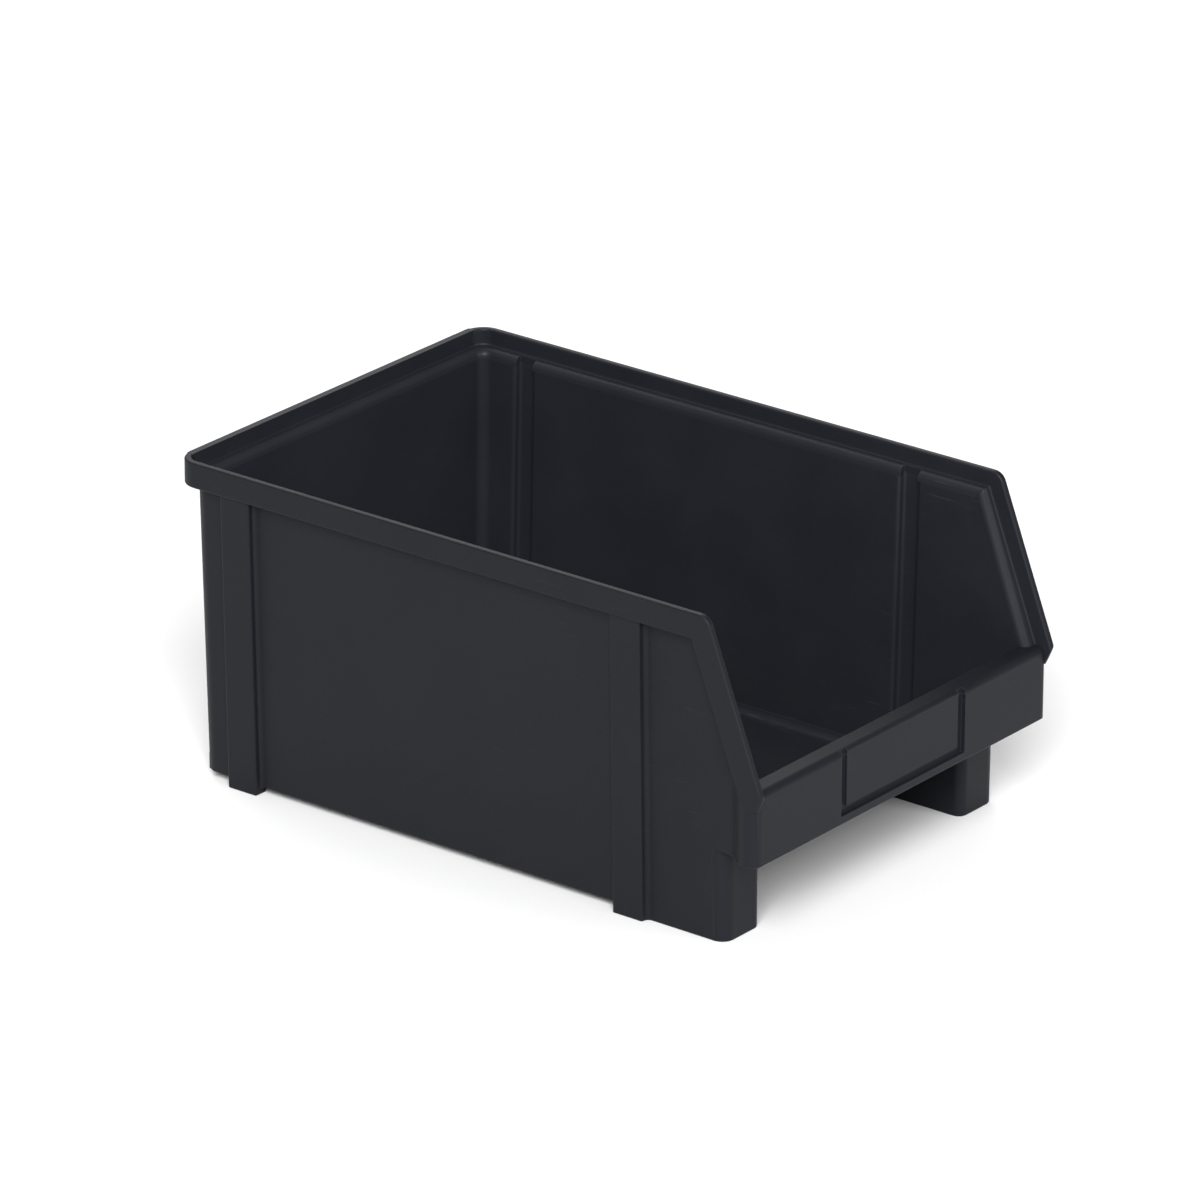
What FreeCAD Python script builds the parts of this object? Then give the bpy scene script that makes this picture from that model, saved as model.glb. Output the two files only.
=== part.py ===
"""Open-fronted stacking storage bin, moulded in one shot from conductive black polypropylene.

The real bin is a single moulding. Its regions are written here as separate solids that meet face to
face, one STEP file each: floor, ramp, walls, hollow pilasters, stepped rim, front lip, card holder, legs.

Frame: +Z up, the open front faces -Y, origin at the middle of the bin's footprint at foot level.
Left and right are as seen by someone standing in front of the bin. All sizes are in millimetres.
"Back distance" is measured forwards from the outer edge of the rear rim.
"""
import FreeCAD
import Part
import math
import os

# ---------------------------------------------------------------- overall sizes
LENGTH = 158.6            # rear rim to the tips of the front noses
RIM_WIDTH = 105.0         # across the outside of the rim
HEIGHT = 75.0             # feet to rim top
RIM_LENGTH = 144.2        # rear rim to the top of the sloping front edge
MOUTH_HEIGHT = 38.0       # top of the front lip

# ---------------------------------------------------------------- walls and floor
WALL = 1.6                # side and rear walls
FLOOR = 1.8               # floor and ramp
FLOOR_LIFT = 1.6          # underside of the floor above the feet
SIDE_DRAFT = 1.4          # degrees, each side wall
REAR_DRAFT = 0.5          # degrees, rear wall
WALL_CORNER = 4.0         # outside radius of the rear wall corners
RAMP_START = 119.0        # back distance where the floor starts to rise

# ---------------------------------------------------------------- stepped stacking rim
RIM_OVERHANG = 2.55       # rim outside beyond the wall outside
RIM_WALL = 1.6            # upstand thickness
RIM_CORNER = 5.1          # outside radius of the rim's rear corners
SKIRT_HEIGHT = 5.9        # full height of the rim band
LEDGE_DROP = 3.8          # stacking ledge below the rim top
LEDGE_RADIUS = 1.2        # rounded shoulder from ledge to wall
SLOPE_TOP_RADIUS = 3.0    # rounding where the top edge turns down the slope
NOSE_RADIUS = 1.2         # rounding of the nose tip, seen from the side
NOSE_PLAN_RADIUS = 1.4    # rounding of the nose's outer front edge, seen from above

# ---------------------------------------------------------------- front lip and card holder
NOSE_REACH = 1.5          # nose tips beyond the lip face
NOSE_DEPTH = 4.0          # nose height before it meets the lip end
LIP_BOTTOM = 21.2         # lower edge of the lip face
LIP_WALL = 1.8            # lip face and lip top thickness
LIP_DEPTH = 4.8           # lip top, front to rear
LIP_CORNER = 2.5          # outside radius of the lip's vertical ends
LIP_TOP_RADIUS = 1.6      # rounding of the lip's upper front edge
LIP_FLARE = 7.5           # length over which the side wall flares out to the lip's full width
CARD_WIDTH = 39.6         # plain field between the side slots
CARD_SLOT = 1.7           # width of the slot round the field
CARD_SLOT_DEPTH = 1.1
CARD_BAR = 1.9            # bar under the bottom slot
CARD_RECESS = 0.35        # field below the lip face
CARD_BORDER = 2.0         # holder region outside the slot

# ---------------------------------------------------------------- pilasters and legs
PILASTER_WIDTH = 8.0
PILASTER_DEPTH = 1.8      # how far a pilaster stands out of the wall
REAR_PILASTER = 15.9      # back distance of the rear pair's centre
FRONT_PILASTER = 122.0    # back distance of the front pair's centre
LEG_FRONT = 146.6         # back distance of the legs' front faces
LEG_WIDTH = 12.5          # from the wall's outside inwards
LEG_WALL = 1.8
LEG_CORNER = 2.2          # outside radius of the legs' front edges

# ---------------------------------------------------------------- working values
BIG = LENGTH + HEIGHT     # reach of cutters that pass right through
SKIRT_Z = HEIGHT - SKIRT_HEIGHT
LEDGE_Z = HEIGHT - LEDGE_DROP
FLOOR_TOP = FLOOR_LIFT + FLOOR
LIP_FACE = LENGTH - NOSE_REACH
LIP_BACK = LIP_FACE - LIP_DEPTH
LIP_FACE_BACK = LIP_FACE - LIP_WALL
LIP_TOP_UNDER = MOUTH_HEIGHT - LIP_WALL
NOSE_BOTTOM = MOUTH_HEIGHT - NOSE_DEPTH
WALL_HALF_TOP = RIM_WIDTH / 2 - RIM_OVERHANG
RISER_HALF = RIM_WIDTH / 2 - RIM_WALL
FRONT_PILASTER_EDGE = FRONT_PILASTER + PILASTER_WIDTH / 2
LEG_BACK = FRONT_PILASTER_EDGE


def y_at(back_distance):
    """Row-frame Y of a point this far forwards of the rear rim."""
    return LENGTH / 2 - back_distance


def half_width(z, offset=0.0):
    """Half width across the drafted side walls' outside at height z, moved outwards by offset."""
    return WALL_HALF_TOP - (SKIRT_Z - z) * math.tan(math.radians(SIDE_DRAFT)) + offset


def rear_distance(z, offset=0.0):
    """Back distance of the drafted rear wall's outside at height z, moved outwards by offset."""
    return RIM_OVERHANG + (SKIRT_Z - z) * math.tan(math.radians(REAR_DRAFT)) - offset


def plan_wire(half, rear, front, radius, z):
    """Closed outline seen from above: square front, rear corners rounded; rear and front are back distances."""
    y_front, y_rear = y_at(front), y_at(rear)
    turn = radius * math.cos(math.pi / 4)
    corners = [FreeCAD.Vector(x, y, z) for x, y in (
        (-half, y_front), (half, y_front), (half, y_rear - radius), (half - radius, y_rear),
        (radius - half, y_rear), (-half, y_rear - radius))]
    mid_right = FreeCAD.Vector(half - radius + turn, y_rear - radius + turn, z)
    mid_left = FreeCAD.Vector(radius - half - turn, y_rear - radius + turn, z)
    return Part.Wire([
        Part.LineSegment(corners[0], corners[1]).toShape(),
        Part.LineSegment(corners[1], corners[2]).toShape(),
        Part.Arc(corners[2], mid_right, corners[3]).toShape(),
        Part.LineSegment(corners[3], corners[4]).toShape(),
        Part.Arc(corners[4], mid_left, corners[5]).toShape(),
        Part.LineSegment(corners[5], corners[0]).toShape()])


def drafted_block(offset, front, z_low, z_high):
    """Solid inside the drafted walls' outside surface moved outwards by offset, up to a front plane."""
    ends = [plan_wire(half_width(z, offset), rear_distance(z, offset), front, WALL_CORNER + offset, z)
            for z in (z_low, z_high)]
    return Part.makeLoft(ends, True, True)


def plan_prism(half, rear, front, radius, z_low, z_high):
    """Upright prism on a rounded plan outline."""
    face = Part.Face(plan_wire(half, rear, front, radius, z_low))
    return face.extrude(FreeCAD.Vector(0, 0, z_high - z_low))


def side_prism(points, x_low, x_high):
    """Prism across X on an outline of (back distance, z) points."""
    loop = [FreeCAD.Vector(x_low, y_at(back), z) for back, z in points]
    return Part.Face(Part.makePolygon(loop + loop[:1])).extrude(FreeCAD.Vector(x_high - x_low, 0, 0))


def box_between(x_low, x_high, rear, front, z_low, z_high):
    """Axis-aligned box; rear and front are back distances."""
    return Part.makeBox(x_high - x_low, front - rear, z_high - z_low,
                        FreeCAD.Vector(x_low, y_at(front), z_low))


def rounded(shape, radius, wanted):
    """The shape with every edge for which wanted(edge) holds rounded."""
    return shape.makeFillet(radius, [edge for edge in shape.Edges if wanted(edge)])


def spans(edge, axis, low, high):
    """True when the edge runs along one axis ('x', 'y' or 'z') within low..high."""
    box = edge.BoundBox
    sizes = {"x": box.XLength, "y": box.YLength, "z": box.ZLength}
    ends = {"x": (box.XMin, box.XMax), "y": (box.YMin, box.YMax), "z": (box.ZMin, box.ZMax)}[axis]
    across = max(size for name, size in sizes.items() if name != axis)
    return across < 1e-4 and sizes[axis] > 1e-3 and ends[0] > low - 1e-3 and ends[1] < high + 1e-3


def mirrored(shape):
    """The same region on the left side of the bin."""
    return shape.mirror(FreeCAD.Vector(0, 0, 0), FreeCAD.Vector(1, 0, 0))


# ---------------------------------------------------------------- side view of the rim band
SLOPE_ANGLE = math.atan2(LENGTH - RIM_LENGTH, HEIGHT - MOUTH_HEIGHT)   # from the vertical


def slope_distance(z, inset):
    """Back distance of the sloping edge's line at height z, moved into the bin by inset."""
    return LENGTH - (z - MOUTH_HEIGHT) * math.tan(SLOPE_ANGLE) - inset / math.cos(SLOPE_ANGLE)


def band_corner(inset):
    """Where the top line and the sloping line meet when both are moved inwards by inset."""
    z = HEIGHT - inset
    return slope_distance(z, inset), z


def nose_corner():
    """Sharp corner of the nose before rounding, placed so that the rounded tip just reaches LENGTH."""
    under_angle = math.atan2(NOSE_REACH, NOSE_DEPTH)
    down = (1 / math.cos(under_angle) - 1 / math.cos(SLOPE_ANGLE)) / (math.tan(SLOPE_ANGLE) + math.tan(under_angle))
    extra = NOSE_RADIUS * (1 / math.cos(SLOPE_ANGLE) + down * math.tan(SLOPE_ANGLE) - 1)
    return LENGTH + extra, MOUTH_HEIGHT - extra / math.tan(SLOPE_ANGLE)


def front_end_of_rim():
    """Half space in front of the mitre between the straight rim and the slope rim."""
    top, low = band_corner(0.0), band_corner(SKIRT_HEIGHT)
    reach = ((low[0] - top[0]) / (low[1] - top[1])) * (-BIG)
    return side_prism([top, (top[0] + reach, top[1] - BIG), (BIG, -BIG), (BIG, BIG),
                       (top[0] - reach, top[1] + BIG)], -BIG, BIG)


def rim_profile():
    """Side-view outline of the bin above the skirt line, with the slope top and the nose tip rounded."""
    slope_top, nose_tip = band_corner(0.0), nose_corner()
    outline = side_prism([(-1, HEIGHT), slope_top, nose_tip, (LIP_FACE, NOSE_BOTTOM), (-1, NOSE_BOTTOM)], -BIG, BIG)

    def at(edge, point):
        middle = edge.BoundBox.Center
        return spans(edge, "x", -BIG, BIG) and abs(middle.y - y_at(point[0])) + abs(middle.z - point[1]) < 1e-3

    outline = rounded(outline, SLOPE_TOP_RADIUS, lambda edge: at(edge, slope_top))
    return rounded(outline, NOSE_RADIUS, lambda edge: at(edge, nose_tip))


# ---------------------------------------------------------------- regions
def pilaster_slab(centre, width, z_low):
    """Space taken by one right-hand pilaster, seen from the side."""
    return box_between(0, BIG, centre - width / 2, centre + width / 2, z_low, SKIRT_Z)


def pilaster(centre):
    """Right-hand pilaster: a three-sided hollow rib on the wall, with a solid foot below the floor top."""
    inside = drafted_block(-WALL, BIG, -1, HEIGHT)
    body = drafted_block(PILASTER_DEPTH, LIP_FACE_BACK, 0, SKIRT_Z).cut(inside)
    body = body.common(pilaster_slab(centre, PILASTER_WIDTH, 0))
    return body.cut(pilaster_groove(centre))


def pilaster_groove(centre):
    """Channel behind a right-hand pilaster, open to the bin and up through the stacking ledge."""
    width = PILASTER_WIDTH - 2 * WALL
    channel = drafted_block(PILASTER_DEPTH - WALL, LIP_FACE_BACK, FLOOR_TOP, HEIGHT)
    return channel.common(box_between(0, BIG, centre - width / 2, centre + width / 2, FLOOR_TOP, LEDGE_Z))


def wall_ring():
    """Drafted wall all round the bin, open at the front."""
    outside = drafted_block(0.0, LIP_FACE_BACK, 0, SKIRT_Z)
    return outside.cut(drafted_block(-WALL, BIG, -1, HEIGHT))


def wall_outline():
    """Side view of a side wall: stepped base line, leg, lip end and the line under the rim band."""
    rear = 0.0
    band_back = LIP_BACK
    band_z = MOUTH_HEIGHT + (slope_distance(MOUTH_HEIGHT, SKIRT_HEIGHT) - band_back) / math.tan(SLOPE_ANGLE)
    return [(rear, SKIRT_Z), band_corner(SKIRT_HEIGHT), (band_back, band_z), (band_back, LIP_TOP_UNDER),
            (LIP_FACE_BACK, LIP_TOP_UNDER), (LIP_FACE_BACK, LIP_BOTTOM), (LEG_FRONT, LIP_BOTTOM),
            (LEG_FRONT, 0), (FRONT_PILASTER_EDGE, 0), (FRONT_PILASTER_EDGE, FLOOR_LIFT), (rear, FLOOR_LIFT)]


REAR_WALL_DEPTH = RIM_OVERHANG + WALL_CORNER + 1.0    # back distance where rear wall and side walls divide


def rear_wall():
    """Rear wall with its two rounded corners."""
    return wall_ring().common(box_between(-BIG, BIG, -1, REAR_WALL_DEPTH, FLOOR_LIFT, SKIRT_Z))


def right_wall():
    """Right side wall: three panels, divided by the pilasters."""
    panels = wall_ring().common(side_prism(wall_outline(), 0, BIG))
    panels = panels.cut(box_between(-BIG, BIG, -1, REAR_WALL_DEPTH, -1, HEIGHT))
    for centre in (REAR_PILASTER, FRONT_PILASTER):
        panels = panels.cut(pilaster_slab(centre, PILASTER_WIDTH, -1))
    return rounded_leg_edge(panels)


def rounded_leg_edge(shape):
    """Round the leg's outer front edge below the lip."""
    y_leg = y_at(LEG_FRONT)

    def is_leg_edge(edge):
        box = edge.BoundBox
        on_outside = box.XMax > half_width(box.ZMin) - 0.1
        return box.YLength < 1e-3 and abs(box.YMin - y_leg) < 1e-3 and box.ZMin < 1e-3 \
            and box.ZLength > LIP_BOTTOM / 2 and on_outside

    return rounded(shape, min(LEG_CORNER, 0.9 * WALL), is_leg_edge)


def straight_rims():
    """Rim band with its ledge round the rear and along both sides, up to the mitre at the slope."""
    band = plan_prism(RIM_WIDTH / 2, 0, BIG, RIM_CORNER, SKIRT_Z, HEIGHT)
    band = band.cut(plan_prism(RISER_HALF, RIM_WALL, BIG, RIM_CORNER - RIM_WALL, LEDGE_Z, HEIGHT + 1))
    throat = drafted_block(-WALL, BIG, FLOOR_TOP, HEIGHT)
    band = band.cut(throat)
    band = rounded(band, LEDGE_RADIUS, is_shoulder_edge)
    for centre in (REAR_PILASTER, FRONT_PILASTER):
        groove = pilaster_groove(centre)
        band = band.cut(groove).cut(mirrored(groove))
    return band.cut(front_end_of_rim()).common(rim_profile())


def is_shoulder_edge(edge):
    """Inner edge of the stacking ledge, on the straight rims."""
    box = edge.BoundBox
    level = box.ZMin > LEDGE_Z - 1e-3 and box.ZMax < LEDGE_Z + 1e-3
    beside = max(-box.XMin, box.XMax) < half_width(LEDGE_Z, -WALL) + 1e-3
    ahead = y_at(BIG) + 1 < box.YMax < y_at(rear_distance(LEDGE_Z, -WALL)) + 1e-3
    return level and beside and ahead


def rear_rim():
    """Rear stretch of the rim band, corners included."""
    return straight_rims().common(box_between(-BIG, BIG, -1, REAR_WALL_DEPTH, 0, BIG))


def right_rim():
    """Right stretch of the rim band along the level top edge."""
    return straight_rims().common(box_between(0, BIG, REAR_WALL_DEPTH, BIG, 0, BIG))


def right_slope_rim():
    """Right stretch of the rim band down the sloping front edge, ending in the nose."""
    low = band_corner(SKIRT_HEIGHT)
    heel = (slope_distance(NOSE_BOTTOM, SKIRT_HEIGHT), NOSE_BOTTOM)
    upstand = side_prism([band_corner(0.0), nose_corner(), (LIP_FACE, NOSE_BOTTOM), heel, low],
                         RISER_HALF, RIM_WIDTH / 2)
    back_z = MOUTH_HEIGHT + (slope_distance(MOUTH_HEIGHT, SKIRT_HEIGHT) - LIP_BACK) / math.tan(SLOPE_ANGLE)
    foot = [(slope_distance(MOUTH_HEIGHT, LEDGE_DROP), MOUTH_HEIGHT), (LIP_BACK, MOUTH_HEIGHT), (LIP_BACK, back_z)]
    shelf = side_prism([band_corner(LEDGE_DROP)] + foot + [low], 0, RISER_HALF)
    shelf = shelf.cut(drafted_block(-WALL, BIG, 0, HEIGHT))
    rim = upstand.fuse(shelf).removeSplitter().common(rim_profile())
    nose_y = y_at(LENGTH - NOSE_RADIUS)

    def is_nose_edge(edge):
        box = edge.BoundBox
        return box.XMin > RIM_WIDTH / 2 - 1e-3 and box.YMin < nose_y and box.ZMax < MOUTH_HEIGHT + NOSE_RADIUS

    return rounded(rim, NOSE_PLAN_RADIUS, is_nose_edge)


def ramp_top(back):
    """Height of the ramp's upper surface at a back distance."""
    rise = (MOUTH_HEIGHT - FLOOR_TOP) / (LIP_BACK - RAMP_START)
    return FLOOR_TOP + rise * (back - RAMP_START)


def ramp_under(back):
    """Height of the ramp's lower surface at a back distance."""
    rise = (MOUTH_HEIGHT - FLOOR_TOP) / (LIP_BACK - RAMP_START)
    return ramp_top(back) - FLOOR * math.hypot(1, rise)


def ramp_heel():
    """Back distance where the ramp's lower surface meets the floor's underside."""
    rise = (MOUTH_HEIGHT - FLOOR_TOP) / (LIP_BACK - RAMP_START)
    return RAMP_START + (FLOOR_LIFT - ramp_under(RAMP_START)) / rise


def floor_pan():
    """Flat floor between the walls, as far as the crease at the foot of the ramp."""
    slab = side_prism([(-1, FLOOR_LIFT), (-1, FLOOR_TOP), (RAMP_START, FLOOR_TOP), (ramp_heel(), FLOOR_LIFT)],
                      -BIG, BIG)
    return slab.common(drafted_block(-WALL, BIG, 0, HEIGHT))


def front_ramp():
    """Sloping floor that rises from the crease to the rear edge of the lip's top."""
    slab = side_prism([(RAMP_START, FLOOR_TOP), (LIP_BACK, MOUTH_HEIGHT), (LIP_BACK, ramp_under(LIP_BACK)),
                       (ramp_heel(), FLOOR_LIFT)], -BIG, BIG)
    return slab.common(drafted_block(-WALL, BIG, 0, HEIGHT))


def flare_block(narrow_half, rear, wide, front):
    """Upright block under the noses that widens from narrow_half at its rear to the full rim width."""
    outline = [(narrow_half, rear), (RIM_WIDTH / 2, wide), (RIM_WIDTH / 2, front)]
    outline += [(-x, back) for x, back in reversed(outline)]
    loop = [FreeCAD.Vector(x, y_at(back), LIP_BOTTOM) for x, back in outline]
    return Part.Face(Part.makePolygon(loop + loop[:1])).extrude(FreeCAD.Vector(0, 0, NOSE_BOTTOM - LIP_BOTTOM))


def lip_body():
    """Front lip as one channel: face, top and the two flared ends, before the card holder is taken out."""
    face = box_between(-RIM_WIDTH / 2, RIM_WIDTH / 2, LIP_FACE_BACK, LIP_FACE, LIP_BOTTOM, NOSE_BOTTOM)
    upper = box_between(-RISER_HALF, RISER_HALF, LIP_FACE_BACK, LIP_FACE, NOSE_BOTTOM, MOUTH_HEIGHT)
    top = box_between(-RISER_HALF, RISER_HALF, LIP_BACK, LIP_FACE_BACK, LIP_TOP_UNDER, MOUTH_HEIGHT)
    heel = slope_distance(NOSE_BOTTOM, SKIRT_HEIGHT)
    flare_front = LIP_FACE - LIP_CORNER - 0.1
    flare = flare_block(half_width(LIP_BOTTOM), flare_front - LIP_FLARE, flare_front, LIP_FACE_BACK)
    ends = flare.fuse(box_between(-RISER_HALF, RISER_HALF, heel, LIP_FACE_BACK, NOSE_BOTTOM, LIP_TOP_UNDER))
    ends = ends.cut(drafted_block(0.0, BIG, 0, HEIGHT))
    lip = face.fuse([upper, top, ends]).removeSplitter()
    y_face = y_at(LIP_FACE)
    lip = rounded(lip, LIP_CORNER, lambda edge: spans(edge, "z", LIP_BOTTOM, NOSE_BOTTOM)
                  and abs(edge.BoundBox.YMin - y_face) < 1e-3)
    return rounded(lip, LIP_TOP_RADIUS, lambda edge: spans(edge, "x", -BIG, BIG)
                   and abs(edge.BoundBox.YMin - y_face) < 1e-3 and edge.BoundBox.ZMin > MOUTH_HEIGHT - 1e-3)


def holder_block():
    """Middle of the lip face that carries the card slot."""
    half = CARD_WIDTH / 2 + CARD_SLOT + CARD_BORDER
    return box_between(-half, half, LIP_FACE_BACK, LENGTH, LIP_BOTTOM, MOUTH_HEIGHT)


def label_holder():
    """Card holder: a plain field with a U-shaped slot at its sides and foot, open at the top."""
    holder = lip_body().common(holder_block())
    half, slot_z = CARD_WIDTH / 2, LIP_BOTTOM + CARD_BAR
    outer = half + CARD_SLOT
    slot = box_between(-outer, outer, LIP_FACE - CARD_SLOT_DEPTH, LENGTH, slot_z, MOUTH_HEIGHT + 1)
    field = box_between(-half, half, 0, LIP_FACE - CARD_RECESS, slot_z + CARD_SLOT, MOUTH_HEIGHT + 1)
    return holder.cut(slot.cut(field))


def front_lip():
    """Front lip round the card holder."""
    return lip_body().cut(holder_block())


def right_leg():
    """Right front leg: hollow box under the ramp, open below, with one cross web; its outside is the wall."""
    inner = half_width(0) - LEG_WIDTH
    tall = side_prism([(LEG_BACK, 0), (LEG_FRONT, 0), (LEG_FRONT, ramp_under(LEG_FRONT)),
                       (LEG_BACK, ramp_under(LEG_BACK))], inner, BIG)
    tall = tall.common(drafted_block(-WALL, BIG, 0, HEIGHT))
    tall = rounded(tall, LEG_CORNER, lambda edge: spans(edge, "z", 0, HEIGHT)
                   and abs(edge.BoundBox.XMin - inner) < 1e-3
                   and abs(edge.BoundBox.YMin - y_at(LEG_FRONT)) < 1e-3)
    middle = (LEG_BACK + LEG_FRONT) / 2
    for rear, front in ((LEG_BACK + LEG_WALL, middle - LEG_WALL / 2), (middle + LEG_WALL / 2, LEG_FRONT - LEG_WALL)):
        tall = tall.cut(box_between(inner + LEG_WALL, BIG, rear, front, -1, HEIGHT))
    return tall


def build():
    """Every region by name."""
    right = {
        "wall": right_wall(),
        "rim": right_rim(),
        "slope_rim": right_slope_rim(),
        "front_leg": right_leg(),
        "rear_pilaster": pilaster(REAR_PILASTER),
        "front_pilaster": pilaster(FRONT_PILASTER),
    }
    regions = {
        "floor_pan": floor_pan(),
        "front_ramp": front_ramp(),
        "rear_wall": rear_wall(),
        "rear_rim": rear_rim(),
        "front_lip": front_lip(),
        "label_holder": label_holder(),
    }
    for name, shape in right.items():
        regions["right_" + name] = shape
        regions["left_" + name] = mirrored(shape)
    return regions


os.makedirs("parts", exist_ok=True)
for node, region in build().items():
    region.exportStep("parts/" + node + ".step")
    print(node, "solids", len(region.Solids), "volume", round(region.Volume, 1), "valid", region.isValid())
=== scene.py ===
"""Open-fronted stacking storage bin in black carbon-filled polypropylene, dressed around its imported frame.

The real bin is one injection moulding. It is drawn here as a few closed skins that run into each other:
the tub walls with their pilasters, the stepped rim band, the floor that rises into the front lip, the
flared lip ends and the two hollow front legs. Lengths are millimetres until a mesh is made.

Places are written as (x, s, z): x across the bin, s the "back distance", measured forwards from the
outer edge of the rear rim, and z upwards from the feet.
"""
import logging
import math
from dataclasses import dataclass
from enum import Enum, IntEnum
from typing import Any, Callable

import bmesh
import bpy
import numpy as np
from mathutils import Matrix, Vector


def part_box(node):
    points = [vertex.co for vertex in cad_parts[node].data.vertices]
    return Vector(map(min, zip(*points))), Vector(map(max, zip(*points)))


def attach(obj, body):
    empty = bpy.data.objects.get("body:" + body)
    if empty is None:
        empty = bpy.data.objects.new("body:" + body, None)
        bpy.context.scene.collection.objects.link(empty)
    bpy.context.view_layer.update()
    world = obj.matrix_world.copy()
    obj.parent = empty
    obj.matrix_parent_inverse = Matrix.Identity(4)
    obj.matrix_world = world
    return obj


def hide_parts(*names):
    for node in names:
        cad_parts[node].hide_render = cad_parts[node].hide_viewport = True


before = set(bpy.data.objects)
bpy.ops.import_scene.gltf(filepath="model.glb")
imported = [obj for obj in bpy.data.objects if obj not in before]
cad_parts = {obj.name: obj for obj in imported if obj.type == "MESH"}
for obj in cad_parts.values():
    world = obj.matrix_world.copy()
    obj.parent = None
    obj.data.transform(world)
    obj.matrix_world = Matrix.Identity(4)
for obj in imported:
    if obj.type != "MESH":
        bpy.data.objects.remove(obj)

LOG = logging.getLogger("storage_bin")
MM = 0.001
ROOT_BODY = "root"
NEAR = 0.05  # a crease this close to a place counts as lying on it
HAIR = 0.01  # a step off an edge that is too small to be seen
Array = np.ndarray
Pair = tuple[float, float]
Piece = bpy.types.Object
Socket = bpy.types.NodeSocket
Tree = bpy.types.NodeTree
RoundingRule = Callable[[Array, Array, Array], Array]


# ---------------------------------------------------------------- sizes
class Side(Enum):
    """The two sides of the bin, with the direction of x towards them."""

    LEFT = -1.0
    RIGHT = 1.0


def node_box(node: str) -> tuple[Array, Array]:
    """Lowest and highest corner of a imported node.

    Args:
        node: name of the node in the frame.

    Returns:
        Two (x, y, z) arrays in millimetres.
    """
    low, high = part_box(node)
    return np.array(low) / MM, np.array(high) / MM


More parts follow.
